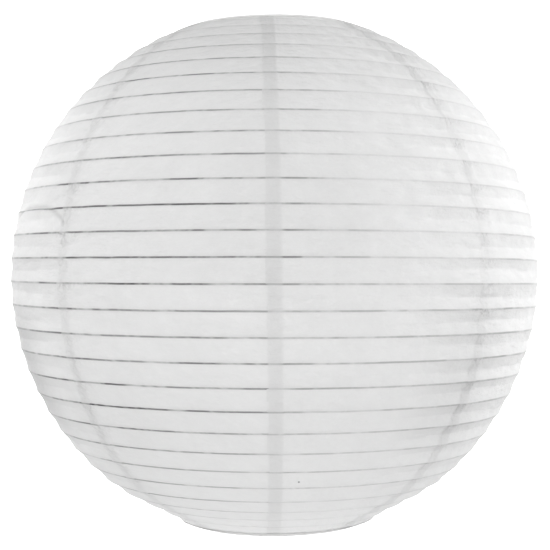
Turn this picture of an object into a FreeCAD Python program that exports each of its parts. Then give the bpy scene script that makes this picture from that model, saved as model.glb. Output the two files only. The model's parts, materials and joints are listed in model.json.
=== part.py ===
import FreeCAD, Part
import math
import os

# Round accordion paper lantern: eight paper gores glued over one spiral of
# steel wire, a wire ring and a paper hem at each opening, and a wire expander
# inside. Origin: the middle of the shade. +Z up, the front seam's lap faces -Y.

V = FreeCAD.Vector
TAU = 2 * math.pi
doc = FreeCAD.newDocument("paper_lantern")
sheet = doc.addObject("Spreadsheet::Sheet", "Sizes")

SIZES = [
    ("shade_r", 200.0, "radius of the paper's outer face"),
    ("paper", 0.3, "thickness modelled for the paper"),
    ("glue", 0.05, "glue line between two papers"),
    ("fit_gap", 0.2, "room between the paper and the wires inside it"),
    ("gores", 8, "number of gores"),
    ("lap", 9.0, "width of the strip lapped over the next gore"),
    ("joggle", 1.2, "width of the step up onto the lap"),
    ("mouth_r", 66.0, "centre line radius of the rings at the openings"),
    ("ring_wire", 1.2, "radius of the ring wire"),
    ("rib_wire", 0.4, "radius of the spiral wire"),
    ("turns", 29, "turns of the spiral"),
    ("rib_start", 69.0, "degrees from the front seam to the spiral's upper end"),
    ("rib_inset", 0.53, "degrees of latitude from ring centre to spiral end"),
    ("hem_tail", 9.0, "length of the outer tail of the hem"),
    ("frame_wire", 1.1, "radius of the expander wire"),
    ("leg_in", 16.0, "distance of each leg inwards from the ring's centre line"),
    ("bend_r", 6.0, "centre line radius of the leg's bends"),
    ("tip_out", 5.0, "distance of the shoulder tips outwards from the ring's centre line"),
    ("seat_gap", 0.3, "room between a shoulder and the hem that rests on it"),
    ("bar_drop", 5.5, "distance of each cross bar from the shoulders' line"),
    ("weld_gap", 0.05, "weld between a cross bar and a leg"),
    ("eye_r", 5.5, "centre line radius of the hanging eye"),
]
for row, (name, value, note) in enumerate(SIZES, start=1):
    sheet.set("A%d" % row, name)
    sheet.set("B%d" % row, repr(value))
    sheet.set("C%d" % row, note)
    sheet.setAlias("B%d" % row, name)
doc.recompute()

# worked out in the sheet, so that every bound size follows the driving ones
DERIVED = [
    ("leg_x", "=mouth_r - leg_in", "distance of each leg from the axis"),
    ("tip_x", "=mouth_r + tip_out", "distance of the shoulder tips from the axis"),
    ("ring_dist", "=shade_r - paper - fit_gap - ring_wire", "ring centre line to origin"),
    ("ring_z", "=sqrt(ring_dist * ring_dist - mouth_r * mouth_r)", "ring plane's height"),
    ("gore_lat", "=asin(ring_z / ring_dist) / 1deg", "latitude of the paper's ends"),
    ("gore_z", "=shade_r * ring_z / ring_dist", "height of the paper's ends"),
    ("lap_in", "=shade_r + glue", "inner radius of the lap"),
    ("lap_out", "=shade_r + glue + paper", "outer radius of the lap"),
    ("hem_in", "=ring_wire + fit_gap + 2 * paper + 2 * glue", "hem's inner radius about the ring"),
    ("seat_z", "=ring_z - hem_in - paper - seat_gap - frame_wire", "height of the shoulders"),
    ("bar_z", "=seat_z - bend_r - bar_drop", "height of the cross bars"),
]
for row, (name, formula, note) in enumerate(DERIVED, start=len(SIZES) + 2):
    sheet.set("A%d" % row, name)
    sheet.set("B%d" % row, formula)
    sheet.set("C%d" % row, note)
    sheet.setAlias("B%d" % row, name)
doc.recompute()


def size(name):
    return float(sheet.get(name))


def bound(kind, label, **formulas):
    """A primitive with its sizes bound to the sheet; a double underscore stands for a dot."""
    made = doc.addObject(kind, label)
    for prop, formula in formulas.items():
        made.setExpression(prop.replace("__", "."), formula)
    return made


def place(made, at=(0, 0, 0), axis=(0, 0, 1), angle=0.0):
    made.Placement = FreeCAD.Placement(V(*at), FreeCAD.Rotation(V(*axis), angle))
    return made


def combined(kind, label, *parts):
    made = doc.addObject(kind, label)
    if kind == "Part::Cut":
        made.Base, made.Tool = parts
    else:
        made.Shapes = list(parts)
    return made


def ball(label, radius):
    return bound("Part::Sphere", label, Radius=radius)


# --- gores ---------------------------------------------------------------
COUNT = int(size("gores"))
STEP = 360.0 / COUNT
EDGE = math.degrees(size("glue") / size("mouth_r"))
HALF_LAP = math.degrees(size("lap") / 2 / size("shade_r"))
nodes = []


def make_gore(n):
    """A panel of the round shade, with a lap strip over its neighbour's edge."""
    tag = "gore_%d_" % n
    outer = bound("Part::Sphere", tag + "outer", Radius="Sizes.shade_r",
                  Angle1="-Sizes.gore_lat", Angle2="Sizes.gore_lat",
                  Angle3="360 / Sizes.gores - %.6f" % EDGE)
    inner = ball(tag + "inner", "Sizes.shade_r - Sizes.paper")
    panel = combined("Part::Cut", tag + "panel", outer, inner)
    lap_outer = ball(tag + "lap_outer", "Sizes.lap_out")
    lap_inner = ball(tag + "lap_inner", "Sizes.lap_in")
    lap_shell = combined("Part::Cut", tag + "lap_shell", lap_outer, lap_inner)
    strip_box = bound("Part::Box", tag + "strip_box", Length="Sizes.shade_r * 1.1",
                      Width="Sizes.lap + Sizes.joggle", Height="2 * Sizes.gore_z",
                      Placement__Base__y="-Sizes.lap", Placement__Base__z="-Sizes.gore_z")
    strip = combined("Part::MultiCommon", tag + "strip", lap_shell, strip_box)
    step_shell = combined("Part::Cut", tag + "step_shell", lap_outer, inner)
    step_box = bound("Part::Box", tag + "step_box", Length="Sizes.shade_r * 1.1",
                     Width="Sizes.joggle", Height="2 * Sizes.gore_z",
                     Placement__Base__z="-Sizes.gore_z")
    step = combined("Part::MultiCommon", tag + "step", step_shell, step_box)
    gore = combined("Part::MultiFuse", "gore_%d" % n, panel, strip, step)
    place(gore, angle=-90.0 + STEP * (n - 1) + HALF_LAP)
    return gore


for n in range(1, COUNT + 1):
    nodes.append(make_gore(n))


# --- spiral wire ---------------------------------------------------------
ARCS_PER_TURN = 4
WIRE_SIDES = 8


def make_spiral():
    """One wire from ring to ring, just inside the paper, falling to the right."""
    turns = int(size("turns"))
    radius = size("shade_r") - size("paper") - size("fit_gap") - size("rib_wire")
    reach = math.radians(size("gore_lat") - size("rib_inset"))
    start = math.radians(size("rib_start"))

    def at(share):
        lat = reach * (1 - 2 * share)
        turned = start + TAU * turns * share
        flat = radius * math.cos(lat)
        return V(flat * math.sin(turned), -flat * math.cos(turned), radius * math.sin(lat))

    arcs = turns * ARCS_PER_TURN
    edges = []
    for n in range(arcs):
        edges.append(Part.Arc(at(n / arcs), at((n + 0.5) / arcs), at((n + 1) / arcs)).toShape())
    # the wire's section has flats, and as much metal as the round wire
    way = edges[0].tangentAt(edges[0].FirstParameter)
    outward = at(0).normalize()
    beside = way.cross(outward)
    corner_r = size("rib_wire") * math.sqrt(TAU / (WIRE_SIDES * math.sin(TAU / WIRE_SIDES)))
    corners = []
    for n in range(WIRE_SIDES):
        angle = TAU * (n + 0.5) / WIRE_SIDES
        corners.append(at(0) + outward * (corner_r * math.cos(angle)) + beside * (corner_r * math.sin(angle)))
    section = Part.Face(Part.makePolygon(corners + corners[:1]))
    made = doc.addObject("Part::Feature", "spiral_rib")
    made.Shape = Part.Wire(edges).makePipe(section)
    return place(made)


nodes.append(make_spiral())


# --- rings and hems ------------------------------------------------------
def make_ring(label, side):
    return bound("Part::Torus", label, Radius1="Sizes.mouth_r", Radius2="Sizes.ring_wire",
                 Placement__Base__z="%d * Sizes.ring_z" % side)


def make_hem(label, side):
    """Paper tape: an outer tail over the gores' ends, turned in round the ring."""
    mouth = size("mouth_r")
    dist = size("ring_dist")
    lat = math.radians(size("gore_lat"))
    near = size("hem_in")
    far = near + size("paper")
    tail = lat - size("hem_tail") / dist

    def on_ball(radius, angle):
        return V(radius * math.cos(angle), 0, radius * math.sin(angle))

    def round_ring(radius, angle):
        return V(mouth, 0, size("ring_z")) + V(radius * math.cos(angle), 0, radius * math.sin(angle))

    def arc(which, radius, first, last):
        return Part.Arc(which(radius, first), which(radius, (first + last) / 2),
                        which(radius, last)).toShape()

    turned = lat + math.pi
    outline = [
        arc(on_ball, dist + near, tail, lat),
        arc(round_ring, near, lat, turned),
        Part.makeLine(round_ring(near, turned), round_ring(far, turned)),
        arc(round_ring, far, turned, lat),
        arc(on_ball, dist + far, lat, tail),
        Part.makeLine(on_ball(dist + far, tail), on_ball(dist + near, tail)),
    ]
    face = Part.Face(Part.Wire(outline))
    made = doc.addObject("Part::Feature", label)
    made.Shape = face.revolve(V(0, 0, 0), V(0, 0, 1), 360)
    if side > 0:
        return place(made)
    return place(made, axis=(1, 0, 0), angle=180.0)


nodes.append(make_ring("top_ring", 1))
nodes.append(make_ring("bottom_ring", -1))
nodes.append(make_hem("top_hem", 1))
nodes.append(make_hem("bottom_hem", -1))


# --- expander ------------------------------------------------------------
def make_leg(label, side):
    """A tall wire with both ends bent outwards as shoulders under and over the rings."""
    tag = label + "_"
    post = bound("Part::Cylinder", tag + "post", Radius="Sizes.frame_wire",
                 Height="2 * (Sizes.seat_z - Sizes.bend_r)",
                 Placement__Base__z="Sizes.bend_r - Sizes.seat_z")
    parts = [post]
    for name, up in (("upper", 1), ("lower", -1)):
        bend = bound("Part::Torus", tag + name + "_bend", Radius1="Sizes.bend_r",
                     Radius2="Sizes.frame_wire", Angle3="90")
        upright = FreeCAD.Rotation(V(1, 0, 0), 90.0 * up)
        outwards = FreeCAD.Rotation(V(0, 1, 0), -90.0 * up)
        bend.Placement = FreeCAD.Placement(V(0, 0, 0), outwards * upright)
        bend.setExpression("Placement.Base.x", "Sizes.bend_r")
        bend.setExpression("Placement.Base.z", "%d * (Sizes.seat_z - Sizes.bend_r)" % up)
        parts.append(bend)
        arm = bound("Part::Cylinder", tag + name + "_arm", Radius="Sizes.frame_wire",
                    Height="Sizes.tip_x - Sizes.leg_x - Sizes.bend_r")
        place(arm, axis=(0, 1, 0), angle=90.0)
        arm.setExpression("Placement.Base.x", "Sizes.bend_r")
        arm.setExpression("Placement.Base.z", "%d * Sizes.seat_z" % up)
        parts.append(arm)
    leg = combined("Part::MultiFuse", label, *parts)
    if side < 0:
        place(leg, angle=180.0)
    leg.setExpression("Placement.Base.x", "%d * Sizes.leg_x" % side)
    return leg


def make_bar(label, side, eye):
    """A cross bar welded between the legs; the upper one carries the hanging eye."""
    tag = label + "_"
    rod = bound("Part::Cylinder", tag + "rod", Radius="Sizes.frame_wire",
                Height="2 * (Sizes.leg_x - Sizes.frame_wire - Sizes.weld_gap)")
    place(rod, axis=(0, 1, 0), angle=90.0)
    rod.setExpression("Placement.Base.x", "Sizes.frame_wire + Sizes.weld_gap - Sizes.leg_x")
    if not eye:
        rod.Label = label
        rod.setExpression("Placement.Base.z", "%d * Sizes.bar_z" % side)
        return rod
    hoop = bound("Part::Torus", tag + "eye", Radius1="Sizes.eye_r", Radius2="Sizes.frame_wire")
    place(hoop, axis=(1, 0, 0), angle=90.0)
    hoop.setExpression("Placement.Base.z", "Sizes.eye_r")
    bar = combined("Part::MultiFuse", label, rod, hoop)
    bar.setExpression("Placement.Base.z", "%d * Sizes.bar_z" % side)
    return bar


nodes.append(make_leg("leg_left", -1))
nodes.append(make_leg("leg_right", 1))
nodes.append(make_bar("top_bar", 1, True))
nodes.append(make_bar("foot_bar", -1, False))

doc.recompute()
for made in doc.Objects:
    if "Invalid" in made.State or "Error" in made.State:
        raise RuntimeError("%s did not build: %s" % (made.Label, made.State))

os.makedirs("parts", exist_ok=True)
for node in nodes:
    if node.Shape.isNull() or not node.Shape.isValid():
        raise RuntimeError("%s has no valid shape" % node.Label)
    if len(node.Shape.Solids) != 1:
        raise RuntimeError("%s is in %d pieces" % (node.Label, len(node.Shape.Solids)))
    node.Shape.exportStep("parts/%s.step" % node.Label)
    box = node.Shape.BoundBox
    print("%-12s %9.1f mm3  x %7.2f %7.2f  y %7.2f %7.2f  z %7.2f %7.2f" % (
        node.Label, node.Shape.Volume, box.XMin, box.XMax, box.YMin, box.YMax, box.ZMin, box.ZMax))
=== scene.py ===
import json
import math
from contextlib import contextmanager

import bmesh
import bpy
import numpy as np
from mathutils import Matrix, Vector


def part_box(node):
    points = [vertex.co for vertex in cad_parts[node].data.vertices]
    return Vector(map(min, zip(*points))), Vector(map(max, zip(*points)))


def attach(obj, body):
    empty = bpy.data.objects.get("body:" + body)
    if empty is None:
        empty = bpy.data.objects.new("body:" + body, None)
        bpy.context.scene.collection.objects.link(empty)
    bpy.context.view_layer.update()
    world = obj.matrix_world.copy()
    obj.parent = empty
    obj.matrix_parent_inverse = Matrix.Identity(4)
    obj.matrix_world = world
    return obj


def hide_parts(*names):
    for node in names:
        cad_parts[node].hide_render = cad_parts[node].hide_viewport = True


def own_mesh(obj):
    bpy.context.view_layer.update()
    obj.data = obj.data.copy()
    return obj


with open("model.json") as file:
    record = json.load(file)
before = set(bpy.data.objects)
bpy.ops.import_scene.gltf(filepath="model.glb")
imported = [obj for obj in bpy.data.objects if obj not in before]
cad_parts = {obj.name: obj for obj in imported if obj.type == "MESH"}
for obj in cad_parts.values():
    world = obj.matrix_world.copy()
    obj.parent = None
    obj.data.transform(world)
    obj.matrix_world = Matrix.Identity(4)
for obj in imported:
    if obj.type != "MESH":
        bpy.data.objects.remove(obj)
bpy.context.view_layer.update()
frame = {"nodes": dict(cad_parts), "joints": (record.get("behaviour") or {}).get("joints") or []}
scene = bpy.context.scene
TAU = 2 * math.pi

# ---------------------------------------------------------------- sizes
# Lengths are metres and angles radians, except where a name or comment says degrees.
# Azimuth 0 is the front (-Y) and grows towards +X; latitude is 0 where the shade is widest.
MM = 0.001
DEG = math.pi / 180
GORES = 8
GORE_SPAN = TAU / GORES
TURNS = 29
RIB_START = 69 * DEG   # azimuth of the rib's upper end
RIB_INSET = 0.53 * DEG   # from each ring to the rib's end
LAP = 9 * MM
RIB_WIRE = 0.4 * MM   # half its thickness

ring_low, ring_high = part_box("top_ring")
RING_Z = (ring_low.z + ring_high.z) / 2
RING_WIRE = (ring_high.z - ring_low.z) / 2
MOUTH = ring_high.x - RING_WIRE   # radius of both openings
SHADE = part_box("gore_2")[1].x
RING_DIST = math.hypot(MOUTH, RING_Z)
MOUTH_LAT = math.atan2(RING_Z, MOUTH)
REACH = MOUTH_LAT - RIB_INSET
PITCH = 2 * REACH / TURNS
BAND = PITCH * SHADE   # width of paper between two turns
collapse = next(j for j in frame["joints"] if j["name"] == "collapse")
KEEP = 1 - collapse["range_m"][1] / (2 * RING_Z)   # share of its height a folded shade keeps


def turn_of(azimuth, latitude):
    """Which turn of the rib a place lies on: whole numbers are on the wire."""
    return (REACH - latitude) / PITCH - (azimuth - RIB_START) / TAU


def latitude_of(azimuth, turn):
    """The latitude of a turn of the rib at an azimuth."""
    return REACH - PITCH * (turn + (azimuth - RIB_START) / TAU)


def on_shade(radius, azimuth, latitude):
    """Points at a distance from the shade's middle."""
    flat = radius * np.cos(latitude)
    return np.stack([flat * np.sin(azimuth), -flat * np.cos(azimuth), radius * np.sin(latitude)], -1)


def across_sheet(azimuth, latitude):
    """Distance round the shade in the paper's pattern, which narrows less than a gore does."""
    return azimuth * SHADE * np.cos(latitude * 0.6)


# ---------------------------------------------------------------- wandering values
def wander(seed, x, y, x_scale, y_scale, waves=7):
    """A smooth random surface between about -1 and 1 over x and y."""
    draw = np.random.default_rng(seed)
    total = np.zeros(np.broadcast(x, y).shape)
    for _ in range(waves):
        way = draw.uniform(0, TAU)
        rate = draw.uniform(0.5, 1.6)
        shift = draw.uniform(0, TAU)
        travel = x / x_scale * math.cos(way) + y / y_scale * math.sin(way)
        total += np.sin(TAU * rate * travel + shift)
    return total / math.sqrt(waves) / 1.4


def rise(low, high, x):
    """0 below low, 1 above high, smooth between."""
    t = np.clip((x - low) / (high - low), 0, 1)
    return t * t * (3 - 2 * t)


def near(x, middle, half):
    """1 at the middle, fading to 0 at half away."""
    return 1 - rise(0, half, np.abs(x - middle))


def wrapped(azimuth):
    """The same azimuth within half a turn of the front."""
    return (azimuth + math.pi) % TAU - math.pi


def side_of(azimuth):
    """Degrees round from the front, minus to the left and plus to the right."""
    return wrapped(azimuth) / DEG


# ---------------------------------------------------------------- shader helper
class Link:
    """One output or number of a material's node tree, for sums in plain Python."""

    def __init__(self, tree, socket):
        self.tree = tree
        self.socket = socket

    def maths(self, operation, *values):
        made = self.tree.node("ShaderNodeMath", {"operation": operation}, dict(enumerate(values)))
        return made.out()

    def __add__(self, other):
        return self.maths("ADD", self, other)

    def __radd__(self, other):
        return self.maths("ADD", other, self)

    def __sub__(self, other):
        return self.maths("SUBTRACT", self, other)

    def __rsub__(self, other):
        return self.maths("SUBTRACT", other, self)

    def __mul__(self, other):
        return self.maths("MULTIPLY", self, other)

    def __rmul__(self, other):
        return self.maths("MULTIPLY", other, self)

    def __abs__(self):
        return self.maths("ABSOLUTE", self)

    def fraction(self):
        return self.maths("FRACT", self)

    def smooth(self, low, high):
        """0 below low, 1 above high, smooth between."""
        return self.tree.node("ShaderNodeMapRange", {"interpolation_type": "SMOOTHSTEP"},
                              {"Value": self, "From Min": low, "From Max": high}).out("Result")


class Made:
    """A node just made, read by the name of its output."""

    def __init__(self, tree, node):
        self.tree = tree
        self.node = node

    def out(self, name=0):
        return Link(self.tree, self.node.outputs[name])


class Finish:
    """A material under construction."""

    def __init__(self, name):
        self.material = bpy.data.materials.new(name)
        self.material.use_nodes = True
        self.nodes = self.material.node_tree.nodes
        self.links = self.material.node_tree.links
        self.nodes.clear()
        self.output = self.nodes.new("ShaderNodeOutputMaterial")

    def node(self, kind, settings=None, values=None):
        made = self.nodes.new(kind)
        for name, value in (settings or {}).items():
            setattr(made, name, value)
        for name, value in (values or {}).items():
            if isinstance(value, Link):
                self.links.new(value.socket, made.inputs[name])
            else:
                made.inputs[name].default_value = value
        return Made(self, made)

    def noise(self, vector, scale, detail=2.0, roughness=0.5):
        return self.node("ShaderNodeTexNoise", {"noise_dimensions": "3D"}, {
            "Vector": vector, "Scale": scale, "Detail": detail, "Roughness": roughness}).out()

    def mix(self, share, first, second):
        """A colour between first and second."""
        return self.node("ShaderNodeMix", {"data_type": "RGBA"}, {0: share, 6: first, 7: second}).out(2)

    def attribute(self, name, output="Fac"):
        return self.node("ShaderNodeAttribute", {"attribute_name": name}).out(output)

    def object_place(self):
        return self.node("ShaderNodeTexCoord").out("Object")

    def vector(self, x, y, z=0.0):
        return self.node("ShaderNodeCombineXYZ", {}, {"X": x, "Y": y, "Z": z}).out()

    def colour(self, red, green, blue):
        return self.node("ShaderNodeCombineColor", {}, {"Red": red, "Green": green, "Blue": blue}).out()

    def bump(self, height, distance, strength):
        return self.node("ShaderNodeBump", {}, {
            "Height": height, "Distance": distance, "Strength": strength}).out()

    def thin(self, front, colour, share):
        """A front that lets a share of the light through."""
        through = self.node("ShaderNodeBsdfTranslucent", {}, {"Color": colour}).out()
        return self.node("ShaderNodeMixShader", {}, {0: share, 1: front, 2: through}).out()

    def principled(self, values):
        return self.node("ShaderNodeBsdfPrincipled", {}, values).out()

    def surface(self, shader):
        self.links.new(shader.socket, self.output.inputs["Surface"])
        return self.material


def grey(value, warm=0.0):
    """A plain colour; warm adds to red what it takes from blue."""
    return (value * (1 + warm), value, value * (1 - warm), 1)


# ---------------------------------------------------------------- finishes
SPECK = (5.7 * DEG, -43.3 * DEG)   # azimuth and latitude of a speck in the paper
WIRE_GREY = 0.055   # the wire where it shows plainest through the paper


def shade_paper():
    """White lantern paper: cloudy and faintly fibrous, grey where the wire shows, duller where doubled,
    with painted shade and painted light on its folds and creases.
    """
    m = Finish("shade_paper")
    parts = m.node("ShaderNodeSeparateXYZ", {}, {"Vector": m.attribute("sheet", "Vector")})
    across, turn, show = (parts.out(name) for name in "XYZ")
    doubled = m.attribute("doubled")
    crumpled = m.attribute("crumpled")
    painted_shading = m.attribute("painted_shading")
    up = turn * BAND
    flat = m.vector(across, up)

    # the wire, in millimetres from its middle: dark where glued tight, broken where it stands off
    row = turn.maths("ROUND", turn)
    along = m.vector(across, row * 0.031)
    wobble = (m.noise(along, 45.0, 2.0, 0.6) - 0.5) * 0.7
    off_wire = abs(((turn + 0.5).fraction() - 0.5) * (BAND / MM) + wobble * show)
    line = 1 - off_wire.smooth(0.33, 0.84)
    halo = 1 - off_wire.smooth(0.4, 3.2)
    dashes = m.noise(along, 40.0, 3.0, 0.65).smooth(0.36, 0.58)
    stretches = m.noise(along, 11.0, 2.0, 0.5).smooth(0.32, 0.58)
    wire_seen = line * show * (0.34 + 0.66 * dashes) * (0.66 + 0.34 * stretches)

    # the pulp: clouds, blots and fibres, duller where the paper is doubled, with painted shade and painted
    # light where it is folded
    cloud = m.noise(flat, 34.0, 5.0, 0.68)
    blots = m.noise(flat, 120.0, 3.0, 0.6).smooth(0.60, 0.74)
    fibre = m.noise(m.vector(across, up * 2.6), 380.0, 3.0, 0.65)
    tone = 0.90 + (cloud - 0.5) * 0.12 + (fibre - 0.5) * 0.040 + blots * 0.024
    under_lap = doubled * (1 - 0.75 * crumpled) * (0.022 + 0.05 * cloud)
    tone = tone * (1 - under_lap) * (1 - halo * show * 0.04)
    # painted shade on folds, and painted light where the amount is below zero
    tone = tone * (1 - painted_shading * (0.045 + 0.05 * cloud))

    # creases: long shallow ones everywhere, sharp short ones beside the seams, the sharp ones with painted
    # shade along their lines and painted highlights in flecks
    long_creases = m.noise(m.vector(across, up * 2.2), 60.0, 4.0, 0.62)
    ridges = m.noise(m.vector(across * 1.4, up), 88.0, 2.0, 0.55)
    ridge = 1 - abs(ridges - 0.5).smooth(0.0, 0.045)
    small_ridge = 1 - abs(m.noise(flat, 230.0, 1.0, 0.5) - 0.5).smooth(0.0, 0.08)
    crease_bump_and_shade = crumpled * (ridge + small_ridge * 0.6)
    painted_fleck_highlights = m.noise(m.vector(across, up * 1.8, 2.0), 170.0, 2.0, 0.6).smooth(0.54, 0.64) * crumpled
    # painted shade along the crease lines and painted highlights on the flecks
    tone = tone * (1 - crease_bump_and_shade * 0.10) * (1 + painted_fleck_highlights * 0.06)
    height = fibre * 0.14 + long_creases * 6.5 + crease_bump_and_shade * 2.0

    # one dark speck
    off_across = across - across_sheet(*SPECK)
    off_up = up - turn_of(*SPECK) * BAND
    off_speck = m.node("ShaderNodeVectorMath", {"operation": "LENGTH"}, {0: m.vector(off_across, off_up)})
    tone = tone * (1 - (1 - off_speck.out("Value").smooth(0.5 * MM, 1.1 * MM)) * 0.6)

    colour = m.mix(wire_seen, m.colour(tone, tone, tone), grey(WIRE_GREY))
    front = m.principled({
        "Base Color": colour, "Roughness": 0.86, "Specular IOR Level": 0.28, "Sheen Weight": 0.08,
        "Sheen Roughness": 0.6, "Normal": m.bump(height, 0.6 * MM, 0.55)})
    return m.surface(m.thin(front, colour, 0.25))


def hem_paper():
    """The doubled tape at the openings: whiter, a little rougher, with rubbed creases."""
    m = Finish("hem_paper")
    place = m.object_place()
    cloud = m.noise(place, 60.0, 4.0, 0.6)
    fibre = m.noise(place, 900.0, 3.0, 0.6)
    tone = 0.95 + (cloud - 0.5) * 0.05 + (fibre - 0.5) * 0.04
    colour = m.colour(tone, tone, tone * 0.995)
    front = m.principled({
        "Base Color": colour, "Roughness": 0.9, "Specular IOR Level": 0.25,
        "Normal": m.bump(fibre + cloud * 2, 0.2 * MM, 0.6)})
    return m.surface(m.thin(front, colour, 0.5))


def steel_wire(name, tone, rough, dull):
    """Drawn steel wire: die lines, cloudy zinc and dull spots."""
    m = Finish(name)
    place = m.object_place()
    cloud = m.noise(place, 180.0, 4.0, 0.6)
    lines = m.noise(place, 2600.0, 2.0, 0.5)
    spots = m.noise(place, 75.0, 3.0, 0.6).smooth(0.56, 0.72)
    bright = m.mix(cloud, grey(tone * 0.82, 0.01), grey(tone * 1.1))
    return m.surface(m.principled({
        "Base Color": m.mix(spots * dull, bright, grey(tone * 0.45, 0.06)), "Metallic": 1.0,
        "Roughness": rough + (cloud - 0.5) * 0.22 + spots * 0.2,
        "Normal": m.bump(lines + cloud, 0.04 * MM, 0.5)}))


def studio_white():
    """The sweep: pale card underfoot, glowing white towards the back."""
    m = Finish("studio_white")
    place = m.object_place()
    depth = m.node("ShaderNodeSeparateXYZ", {}, {"Vector": place}).out("Y")
    glow = depth.smooth(0.9, 1.7) * 0.92 + 0.08
    return m.surface(m.principled({
        "Base Color": m.mix(m.noise(place, 3.0), grey(0.80), grey(0.84)), "Roughness": 0.9,
        "Emission Color": m.mix(glow, grey(0.0), grey(1.0)), "Emission Strength": 1.02}))


# ---------------------------------------------------------------- mesh helper
def mesh_from_grid(name, points, closed_across=False, closed_along=False, attributes=None):
    """A piece whose faces join neighbouring rows and columns of points."""
    rows, columns = points.shape[:2]
    mesh = bpy.data.meshes.new(name)
    index = np.arange(rows * columns).reshape(rows, columns)
    if closed_across:
        index = np.concatenate([index, index[:, :1]], 1)
    if closed_along:
        index = np.concatenate([index, index[:1]], 0)
    faces = np.stack([index[:-1, :-1], index[1:, :-1], index[1:, 1:], index[:-1, 1:]], -1)
    mesh.from_pydata(points.reshape(-1, 3).tolist(), [], faces.reshape(-1, 4).tolist())
    for label, values in (attributes or {}).items():
        kind, field = ("FLOAT_VECTOR", "vector") if values.ndim == 3 else ("FLOAT", "value")
        layer = mesh.attributes.new(label, kind, "POINT")
        layer.data.foreach_set(field, values.astype(np.float32).ravel())
    return mesh


@contextmanager
def opened(mesh):
    """The mesh open for work on its vertices and faces, written back afterwards."""
    work = bmesh.new()
    work.from_mesh(mesh)
    yield work
    work.to_mesh(mesh)
    work.free()


def piece_from(mesh, material):
    """An object of this mesh and material, shaded smooth."""
    mesh.materials.append(material)
    mesh.polygons.foreach_set("use_smooth", [True] * len(mesh.polygons))
    piece = bpy.data.objects.new(mesh.name, mesh)
    scene.collection.objects.link(piece)
    return piece


def fold_with_shade(piece):
    """A soft piece that rides with the shade, on a mesh of its own."""
    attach(piece, "shade")
    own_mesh(piece)


# ---------------------------------------------------------------- paper gores
PAPER_AT = SHADE - 0.25 * MM   # distance from the shade's middle to the taut paper
WIRE_AT = PAPER_AT - 0.08 * MM - RIB_WIRE   # and to the middle of the rib's wire
PAPER_END = MOUTH_LAT - 0.42 * DEG   # latitude where each sheet ends
MERGE = 0.02 * MM   # points nearer than this become one
COLUMNS = 108   # of points across one gore
LAP_COLUMNS = 8   # and across the lap beside it
# rows of points between two turns of the rib, as shares of the way down
BAND_ROWS = (0.0, 0.022, 0.055, 0.12, 0.22, 0.34, 0.44, 0.5, 0.56, 0.66, 0.78, 0.88, 0.945, 0.978)
# each loose fold's arch: azimuth and latitude of its top, half its width, and the drop at its ends
LOOSE_FOLDS = (
    ((-60 * DEG, 14.4 * DEG), 14 * DEG, 3.4 * DEG),
    ((104 * DEG, -20.5 * DEG), 11 * DEG, 2.8 * DEG),
    ((163 * DEG, 28.0 * DEG), 9 * DEG, 2.6 * DEG),
)


def foot_pull(latitude):
    """The lower ring pulls the paper at the foot into a flat cone, and the rib there with it."""
    return -2.4 * MM * near(latitude, -62 * DEG, 13 * DEG) * rise(-MOUTH_LAT, -65 * DEG, latitude)


def sag_of(azimuth, latitude, turn):
    """How far paper lies inside the ball between two turns, and how much painted shade or painted light
    its fold gets there.
    """
    side = side_of(azimuth)
    share = turn % 1.0
    band = np.floor(turn)
    taut = 4 * share * (1 - share)
    fold_at = 0.50 + 0.07 * np.sin(band * 2.4 + azimuth * 3.0)
    crease = np.clip(np.minimum(share / fold_at, (1 - share) / (1 - fold_at)), 0, 1)
    crease = crease - 0.06 * near(crease, 1.0, 0.12)
    slack = np.maximum(rise(20, 44, side), rise(42, 58, -side))
    creased = np.clip(slack * (0.80 + 0.45 * wander(11, azimuth, band, 0.5, 1.7)), 0, 1)
    depth = (0.55 + 0.22 * wander(12, azimuth, band, 0.6, 2.3)) * MM
    fold_depth = (2.7 + 0.8 * wander(13, azimuth, band, 0.4, 1.3)) * MM * np.cos(latitude) ** 0.5
    fold_depth = fold_depth * (1 - 0.62 * near(np.abs(side), 79, 24))
    sag = depth * taut * (1 - creased) + fold_depth * crease * creased
    # painted shade on the upper half of each crease, strongest just under the wire, and painted light on
    # the lower half
    painted_shade_under_wire = 0.55 + 0.45 * np.exp(-share / 0.14)
    painted_shading = creased * np.where(share < fold_at, painted_shade_under_wire, -0.55)
    return sag, painted_shading * np.cos(latitude) ** 0.5


def painted_side_shading_of(azimuth, latitude):
    """Painted shade low on the sides, and painted light high on them."""
    side = side_of(azimuth)
    height = latitude / DEG
    # painted shade low on the left and right sides
    dull = 2.6 * near(side, -69, 16) * rise(0, 14, -height) * (1 - rise(24, 40, -height))
    dull = dull + 1.3 * near(side, 42, 18) * rise(-4, 12, -height) * (1 - rise(28, 42, -height))
    # painted light high on the sides
    painted_side_light = 1.2 * near(side, -68, 18) + 0.8 * near(side, 62, 20)
    return dull - painted_side_light * rise(4, 14, height) * (1 - rise(34, 50, height))


def painted_end_shade_of(latitude):
    """Painted shade: darker towards the top mouth, and a little darker below the middle, fading again near
    the lower mouth.
    """
    top = 3.0 * rise(24 * DEG, 68 * DEG, latitude)
    low = rise(10 * DEG, 30 * DEG, -latitude) * (1 - 0.9 * rise(50 * DEG, 68 * DEG, -latitude))
    return top + 0.8 * low


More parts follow.
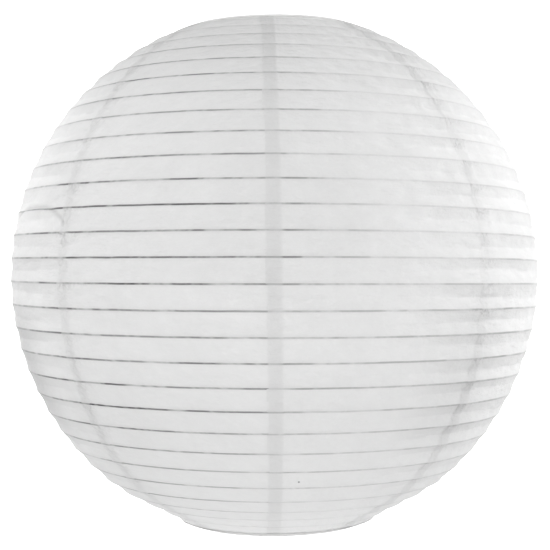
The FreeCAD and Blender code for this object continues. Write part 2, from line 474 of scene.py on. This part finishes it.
def crumple_of(azimuth, latitude, turn, from_seam):
    """0 to 1: how crumpled the paper is, most where the wire crosses a side seam."""
    side = side_of(azimuth)
    share = turn % 1.0
    band = np.floor(turn)
    spread = (7 + 3 * np.sin(band * 3.1 + np.sign(azimuth)) + 9 * np.exp(-share / 0.25)) * MM
    right = rise(0, 10, side)
    at_wire = np.exp(-((share / (0.42 - 0.12 * right)) ** 2))
    beside = np.exp(-((from_seam / spread) ** 2)) * (0.22 - 0.14 * right + 0.78 * at_wire)
    patches = np.clip(0.55 + 0.6 * wander(24, azimuth, latitude, 0.35, 0.22), 0, 1)
    seams = beside * (0.10 + 0.90 * rise(30, 44, np.abs(side))) * (0.5 + 0.5 * patches)
    return np.clip(seams + 0.12 * rise(15, 60, np.abs(side)) * patches + 0.04, 0, 1)


def crinkle_of(azimuth, latitude, turn, crumpled):
    """Small wrinkles standing in and out of the sheet between two turns."""
    share = turn % 1.0
    band = np.floor(turn)
    side = side_of(azimuth)
    held = 4 * share * (1 - share)
    x, y = azimuth * SHADE / MM, latitude * SHADE / MM
    fine = wander(21, x, y, 7.0, 7.5, 9)
    coarse = wander(22, x, y, 34.0, 14.0, 7)
    streaks = wander(25, x, y, 24.0, 6.5, 9)
    lean = wander(23, azimuth * 8 + share * 0.9, band * 1.3, 0.6, 1.0, 5)
    soft = 0.24 + 0.32 * rise(4, 34, np.abs(side + 6)) * rise(-30, 15, latitude / DEG)
    streaked = 0.55 * soft + 0.30 * rise(10, 34, side)
    beside_seams = crumpled * (0.62 * fine + 0.30 * lean)
    return held * MM * (beside_seams + soft * coarse + streaked * streaks + 0.04 * fine)


def loose_fold_of(azimuth, latitude, top, half, drop):
    """Where an arched fold of loose paper runs: 1 on its line, and the swelling under it."""
    along = (wrapped(azimuth) - top[0]) / half
    arch = top[1] - drop * (0.35 * along ** 2 + 0.65 * along ** 4)
    below = (arch - latitude) * SHADE
    inside = np.clip(1 - along ** 4, 0, 1)
    line = np.exp(-((below / (1.5 * MM)) ** 2)) * (np.abs(along) < 1.05)
    swell = inside * rise(0, 4 * MM, below) * (1 - rise(5 * MM, 13 * MM, below))
    return line, swell


def show_of(azimuth, latitude):
    """How plainly the wire shows through, by how close the paper is glued to it."""
    side = side_of(azimuth)
    height = latitude / DEG
    facing = 0.44 + 0.60 * near(side, -34, 60) - 0.10 * near(side, 32, 40)
    facing = facing - 0.28 * rise(6, 20, side) * rise(-12, 16, height)
    facing = facing + 0.12 * wander(31, azimuth, latitude, 1.4, 0.5)
    past_left_seam = (0.58 + 0.2 * rise(0, 25, height)) * rise(45, 50, -side) * near(side, -80, 45)
    past_right_seam = 0.75 * rise(52, 66, side) * near(side, 85, 40)
    ends = (1 - 0.65 * rise(42, 62, np.abs(height))) * (1 - 0.35 * rise(22, 38, -height))
    ends = ends * (1 - 0.28 * rise(10, 28, height))
    return np.clip(facing, 0.10, 1.0) * (1 - past_left_seam - past_right_seam) * ends


def gore(number, material):
    """One sheet of paper from mouth to mouth, lapped over the next sheet's edge."""
    start = GORE_SPAN * (number - 1) + LAP / 2 / SHADE
    first = math.floor(turn_of(start + GORE_SPAN, PAPER_END))
    last = math.ceil(turn_of(start, -PAPER_END))
    rows = [band + share for band in range(first, last) for share in BAND_ROWS] + [float(last)]
    turn = np.array(rows)[:, None]

    # the sheet's grid: the lap's columns, a little ragged at their edge, then the gore's own
    rough_lat = np.clip(latitude_of(start + GORE_SPAN / 2, turn), -PAPER_END, PAPER_END)
    band = np.floor(turn)
    jog = (0.7 * np.sin(band * 2.7 + number) + 0.5 * np.sin(band * 5.3 + 2 * number)) * MM
    lap_angle = (LAP + jog) / (SHADE * np.cos(rough_lat))
    lap_columns = start + np.linspace(-1, 0, LAP_COLUMNS + 1)[None, :-1] * lap_angle
    columns = start + np.linspace(0, 1, COLUMNS)[None, :] * GORE_SPAN + 0 * turn
    azimuth = np.concatenate([lap_columns, columns], 1)
    latitude = np.clip(latitude_of(azimuth, turn), -PAPER_END, PAPER_END)
    turn_here = turn_of(azimuth, latitude)
    side = side_of(azimuth)

    # distances from the sheet's own edge, the far edge and the seams, and from the wire
    across = (azimuth - start) * SHADE * np.cos(latitude)
    far_edge = (start + GORE_SPAN - azimuth) * SHADE * np.cos(latitude)
    from_seam = np.minimum(np.abs(across + LAP / 2), np.abs(far_edge + LAP / 2))
    from_wire = np.abs((turn_here + 0.5) % 1.0 - 0.5) * BAND

    # the shape: sag, wrinkles, the bulge over the wire and the loose folds, none under a hem
    sag, painted_shading = sag_of(azimuth, latitude, turn_here)
    crumpled = crumple_of(azimuth, latitude, turn_here, from_seam)
    relief = crinkle_of(azimuth, latitude, turn_here, crumpled) - sag
    relief = relief + 0.26 * MM * np.exp(-((from_wire / (0.95 * MM)) ** 2))
    for top, half, drop in LOOSE_FOLDS:
        line, swell = loose_fold_of(azimuth, latitude, top, half, drop)
        relief = relief + (1.4 * swell - 0.6 * line) * MM
        # painted shade along each loose fold's line and painted light on the swelling under it
        painted_shading = painted_shading + 2.6 * line - 0.6 * swell
    under_hem = rise(MOUTH_LAT - 5 * DEG, MOUTH_LAT - 2.9 * DEG, np.abs(latitude))
    on_top = 1 - rise(-0.3 * MM, 2.0 * MM, across)
    radius = PAPER_AT + foot_pull(latitude) + relief * (1 - under_hem)
    radius = radius + on_top * (0.22 - 0.19 * under_hem) * MM

    # the tones: doubled at the laps, the wire fainter there, painted shade on folds, low on the sides and
    # near the mouths, painted light high on the sides
    doubled = 2 - rise(-0.2 * MM, 0.4 * MM, across) - rise(LAP - 0.4 * MM, LAP + 0.2 * MM, far_edge)
    seen = show_of(azimuth, latitude) * (1 - 0.45 * np.clip(doubled, 0, 1))
    loose_seam = near(side, 47, 14) * rise(-28, 0, latitude / DEG)
    doubled = doubled * (1 - 0.85 * loose_seam) * (1 - 0.35 * near(side, -47, 14))
    painted_shading = painted_shading + painted_side_shading_of(azimuth, latitude) + painted_end_shade_of(latitude)

    mesh = mesh_from_grid("gore_%d_paper" % number, on_shade(radius, azimuth, latitude), attributes={
        "sheet": np.stack([across_sheet(azimuth, latitude), turn_here, seen], -1),
        "doubled": np.clip(doubled, 0, 1), "crumpled": crumpled, "painted_shading": painted_shading})
    with opened(mesh) as work:
        bmesh.ops.remove_doubles(work, verts=work.verts, dist=MERGE)
        bmesh.ops.dissolve_degenerate(work, edges=work.edges, dist=MERGE)
    piece = piece_from(mesh, material)
    fold_with_shade(piece)
    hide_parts("gore_%d" % number)


# ---------------------------------------------------------------- wires and hems
HEM_TAIL = 9 * MM   # width of tape on the gores
HEM_THICK = 0.12 * MM
HEM_AROUND = RING_WIRE + 0.42 * MM   # from the ring's middle to the tape's outside
HEM_LIP = 0.45 * DEG   # how far the roll reaches down from the ring
HEM_GAP = 0.02 * DEG   # between roll and tail
HEM_COLUMNS = 360


def spiral(wire):
    """The one long wire under the paper."""
    sides, steps = 6, 72   # round the wire, and along one turn
    count = TURNS * steps + 1
    share = np.linspace(0, 1, count)
    latitude = REACH * (1 - 2 * share)
    azimuth = RIB_START + TAU * TURNS * share
    middle = on_shade(WIRE_AT + foot_pull(latitude), azimuth, latitude)
    along = np.gradient(middle, axis=0)
    along /= np.linalg.norm(along, axis=1)[:, None]
    outward = middle / np.linalg.norm(middle, axis=1)[:, None]
    beside = np.cross(along, outward)
    angle = (np.arange(sides) * TAU / sides)[None, :, None]
    around = np.cos(angle) * outward[:, None] + np.sin(angle) * beside[:, None]
    mesh = mesh_from_grid("spiral_rib_wire", middle[:, None] + RIB_WIRE * around, closed_across=True)
    with opened(mesh) as work:
        work.verts.ensure_lookup_table()
        for row in (0, count - 1):
            work.faces.new([work.verts[row * sides + n] for n in range(sides)])
        bmesh.ops.recalc_face_normals(work, faces=work.faces)
    piece = piece_from(mesh, wire)
    fold_with_shade(piece)
    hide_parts("spiral_rib")


def over_gores(latitudes):
    """The tape's outline where it lies on the gores: distance out, height, and the way outwards."""
    reach = RING_DIST + HEM_AROUND
    return [(reach * math.cos(latitude), reach * math.sin(latitude),
             math.cos(latitude), math.sin(latitude)) for latitude in latitudes]


def round_ring(angles):
    """The tape's outline where it turns in round the ring."""
    return [(MOUTH + HEM_AROUND * math.cos(angle), RING_Z + HEM_AROUND * math.sin(angle),
             math.cos(angle), math.sin(angle)) for angle in angles]


def tape_piece(name, side, outline, stages, material):
    """A ring of thin tape. Stage 0 is its ragged edge on the gores, 1 the ring, 2 its edge inside."""
    azimuth = np.arange(HEM_COLUMNS) * TAU / HEM_COLUMNS
    flat, height, way_flat, way_up = (np.array(v)[:, None] for v in zip(*outline))
    stage = np.array(stages)[:, None]
    pleat = wander(41 + side, azimuth * 100, stage * 3, 2.4, 2.2, 9)
    ragged = wander(51 + side, azimuth * 100, 0 * azimuth, 9.0, 1.0, 5)
    lift = (0.02 + 0.10 * rise(1.1, 1.5, stage)) * MM * pleat
    slip = 0.5 * MM * ragged * rise(0.6, 0.0, stage)
    layers = []
    for depth in (0.0, -HEM_THICK):
        out = flat + way_flat * (lift + depth) + way_up * slip
        up = height + way_up * (lift + depth) - way_flat * slip
        layers.append(np.stack([out * np.sin(azimuth), -out * np.cos(azimuth),
                                side * up + 0 * azimuth], -1))
    loop = np.concatenate([layers[0], layers[1][::-1]], 0)
    mesh = mesh_from_grid(name, loop, closed_across=True, closed_along=True)
    with opened(mesh) as work:
        bmesh.ops.recalc_face_normals(work, faces=work.faces)
    return piece_from(mesh, material)


def hem(label, side, body, material):
    """Paper tape: a tail glued over the gores' ends, and a roll turned in round the ring."""
    steps = np.linspace(0, 1, 7)
    tail_from, tail_to = MOUTH_LAT - HEM_TAIL / SHADE, MOUTH_LAT - HEM_LIP - HEM_GAP
    tail = tape_piece(label + "_tail", side, over_gores(tail_from + (tail_to - tail_from) * steps),
                      0.8 * steps, material)
    fold_with_shade(tail)
    steps = np.linspace(0, 1, 13)
    outline = (over_gores([MOUTH_LAT - HEM_LIP, MOUTH_LAT - HEM_LIP / 2])
               + round_ring(MOUTH_LAT + math.pi * steps))
    roll = tape_piece(label + "_roll", side, outline, np.concatenate([[0.85, 0.92], 1 + steps]), material)
    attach(roll, body)
    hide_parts(label)


def finish_frame_parts(finishes):
    """The wire parts whose shape is right already get their steel."""
    for node, material in finishes.items():
        part = frame["nodes"][node]
        part.data.materials.clear()
        part.data.materials.append(material)


# ---------------------------------------------------------------- studio
def sweep(white):
    """One white sheet: floor, curve and wall."""
    floor, wall, half, bend, front, top = -0.62, 2.6, 6.0, 1.2, -7.0, 5.0
    steps = 12
    outline = [(front, floor), (wall - bend, floor)]
    for n in range(1, steps + 1):
        angle = n / steps * math.pi / 2
        outline.append((wall - bend + bend * math.sin(angle), floor + bend * (1 - math.cos(angle))))
    outline.append((wall, top))
    points = np.array([[(x, y, z) for x in (-half, half)] for y, z in outline])
    piece_from(mesh_from_grid("studio_sweep", points), white)


def softbox(name, place, side, power):
    """A square soft light aimed at the lantern's middle."""
    data = bpy.data.lights.new(name, "AREA")
    data.shape = "RECTANGLE"
    data.size = data.size_y = side
    data.energy = power
    lamp = bpy.data.objects.new(name, data)
    lamp.location = place
    lamp.rotation_euler = (-Vector(place)).to_track_quat("-Z", "Y").to_euler()
    scene.collection.objects.link(lamp)


def studio():
    """The sweep, three softboxes and the light in the air between them."""
    sweep(studio_white())
    softbox("right_softbox", (1.40, 0.10, 0.75), 0.8, 13.0)
    softbox("left_softbox", (-1.20, 0.05, 1.35), 0.8, 10.5)
    softbox("front_softbox", (-0.25, -2.6, 0.70), 1.6, 24.5)
    world = bpy.data.worlds.new("studio_air")
    world.use_nodes = True
    air = world.node_tree.nodes["Background"].inputs
    air["Color"].default_value = grey(1.0)
    air["Strength"].default_value = 0.40
    scene.world = world
    scene.view_settings.view_transform = "Standard"


def camera():
    """Level with the lantern's middle and leaning less than a degree."""
    away, up = 4.91 * SHADE, 0.0128 * SHADE
    lean = -0.0131
    data = bpy.data.cameras.new("camera")
    data.sensor_width = 36
    data.lens = 83.0
    data.shift_x = 0.0013
    data.shift_y = -0.006
    made = bpy.data.objects.new("camera", data)
    made.location = (0, -away, up)
    made.rotation_euler = (math.pi / 2, 0, 0)
    made.rotation_euler.rotate_axis("Z", lean)
    scene.collection.objects.link(made)
    scene.camera = made


# ---------------------------------------------------------------- the lantern
paper = shade_paper()
tape = hem_paper()
spiral(steel_wire("rib_wire", 0.42, 0.42, 0.5))
for number in range(1, GORES + 1):
    gore(number, paper)
hem("top_hem", 1, "shade", tape)
hem("bottom_hem", -1, "bottom_mouth", tape)
ring_steel = steel_wire("ring_wire", 0.46, 0.36, 0.4)
frame_steel = steel_wire("frame_wire", 0.40, 0.34, 0.4)
finish_frame_parts({
    "top_ring": ring_steel, "bottom_ring": ring_steel, "leg_left": frame_steel,
    "leg_right": frame_steel, "top_bar": frame_steel, "foot_bar": frame_steel})
studio()
camera()
